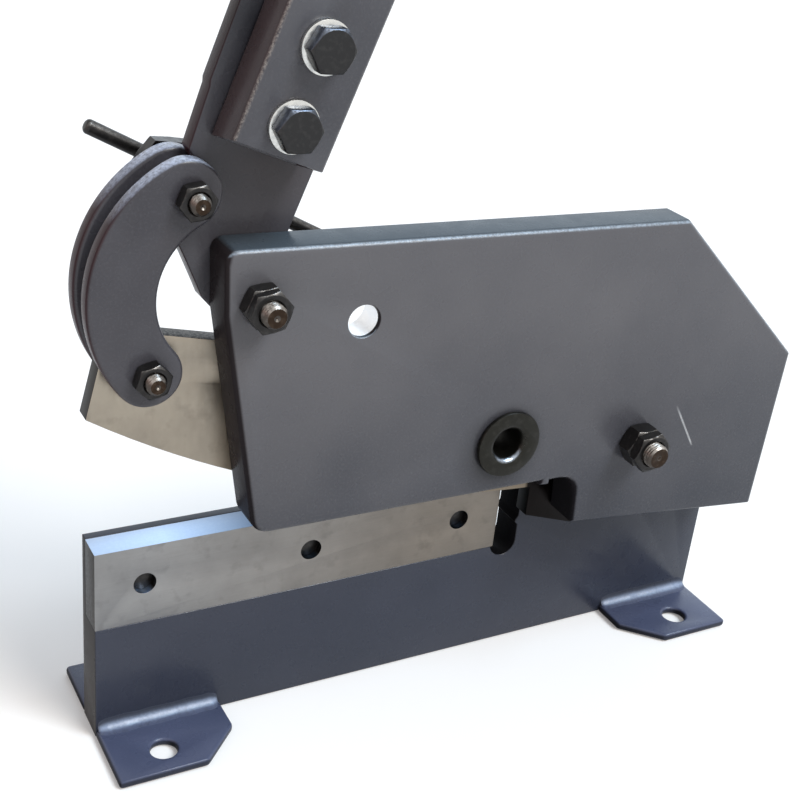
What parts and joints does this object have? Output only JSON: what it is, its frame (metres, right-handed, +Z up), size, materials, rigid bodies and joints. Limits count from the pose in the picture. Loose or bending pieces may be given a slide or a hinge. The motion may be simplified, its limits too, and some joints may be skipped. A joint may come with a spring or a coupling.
{
  "type": "bench shear",
  "caption": "Hand lever bench shear: flat steel frame on drilled feet, fixed lower blade, linked moving blade, round bar bushes and a raised tubular handle.",
  "frame": {"origin": "centre of the rectangle of four bench bolt holes, on the bench plane under the base", "axes": "+Z up off the bench, +X along the base towards the blade pivot, -Y towards the front where the thick side plate and the pivot nuts are"},
  "size_m": [0.3507, 0.0945, 0.6727],
  "materials": {
    "frame_paint": "hammered dark grey paint",
    "handle_paint": "dark grey paint, worn at the edges",
    "blade_steel": "ground steel",
    "link_steel": "machined steel with an oily film",
    "black_steel": "black oxide",
    "bolt_steel": "bright turned steel",
    "zinc": "bright zinc",
    "cap_plastic": "black moulded plastic"
  },
  "bodies": {
    "frame": {"base_plate": "frame_paint", "foot_front_left": "frame_paint", "foot_front_right": "frame_paint", "foot_rear_left": "frame_paint", "foot_rear_right": "frame_paint", "foot_welds": "frame_paint", "lower_blade": "blade_steel", "lower_blade_screws": "black_steel", "front_plate": "frame_paint", "plate_spacer": "frame_paint", "plate_bolts": "black_steel", "front_bar_bush": "black_steel", "rear_bar_bush": "black_steel", "lever_pivot_bolt": "bolt_steel", "lever_pivot_nut": "black_steel", "lever_pivot_lock_nut": "black_steel", "blade_pivot_bolt": "bolt_steel", "blade_pivot_nut": "black_steel", "blade_pivot_lock_nut": "black_steel", "guide_pin": "bolt_steel"},
    "lever": {"lever_plate": "frame_paint", "handle_tube": "handle_paint", "handle_end_cap": "cap_plastic", "handle_bolts": "black_steel", "handle_washers": "zinc", "handle_nuts": "black_steel"},
    "links": {"front_link": "frame_paint", "rear_link": "frame_paint", "upper_link_bolt": "bolt_steel", "upper_link_nut": "black_steel", "lower_link_bolt": "bolt_steel", "lower_link_nut": "black_steel"},
    "blade": {"moving_blade": "blade_steel"},
    "finger": {"hold_down_finger": "link_steel"},
    "clamp": {"clamp_screw": "black_steel", "clamp_washer": "zinc", "clamp_handle": "black_steel"}
  },
  "joints": [
    {"name": "lever_swing", "type": "hinge", "parent": "frame", "child": "lever", "pos_m": [-0.1095, -0.0135, 0.214], "axis": [0, -1, 0], "range_deg": [0, 89]},
    {"name": "blade_swing", "type": "hinge", "parent": "frame", "child": "blade", "pos_m": [0.0875, -0.0135, 0.122], "axis": [0, -1, 0], "range_deg": [0, 15.2]},
    {"name": "link_swing", "type": "hinge", "parent": "lever", "child": "links", "pos_m": [-0.1335, -0.0135, 0.2532], "axis": [0, -1, 0], "range_deg": [-82.1, 0]},
    {"name": "finger_slide", "type": "slide", "parent": "frame", "child": "finger", "axis": [0, 0, 1], "range_m": [-0.0174, 0.0128]},
    {"name": "clamp_turn", "type": "hinge", "parent": "frame", "child": "clamp", "pos_m": [-0.0085, 0.03, 0.1894], "axis": [0, 1, 0], "range_deg": [-180, 0]}
  ],
  "couplings": [
    {"joint": "blade_swing", "follows": "lever_swing", "ratio": 0.1705},
    {"joint": "link_swing", "follows": "lever_swing", "ratio": -0.9214}
  ]
}
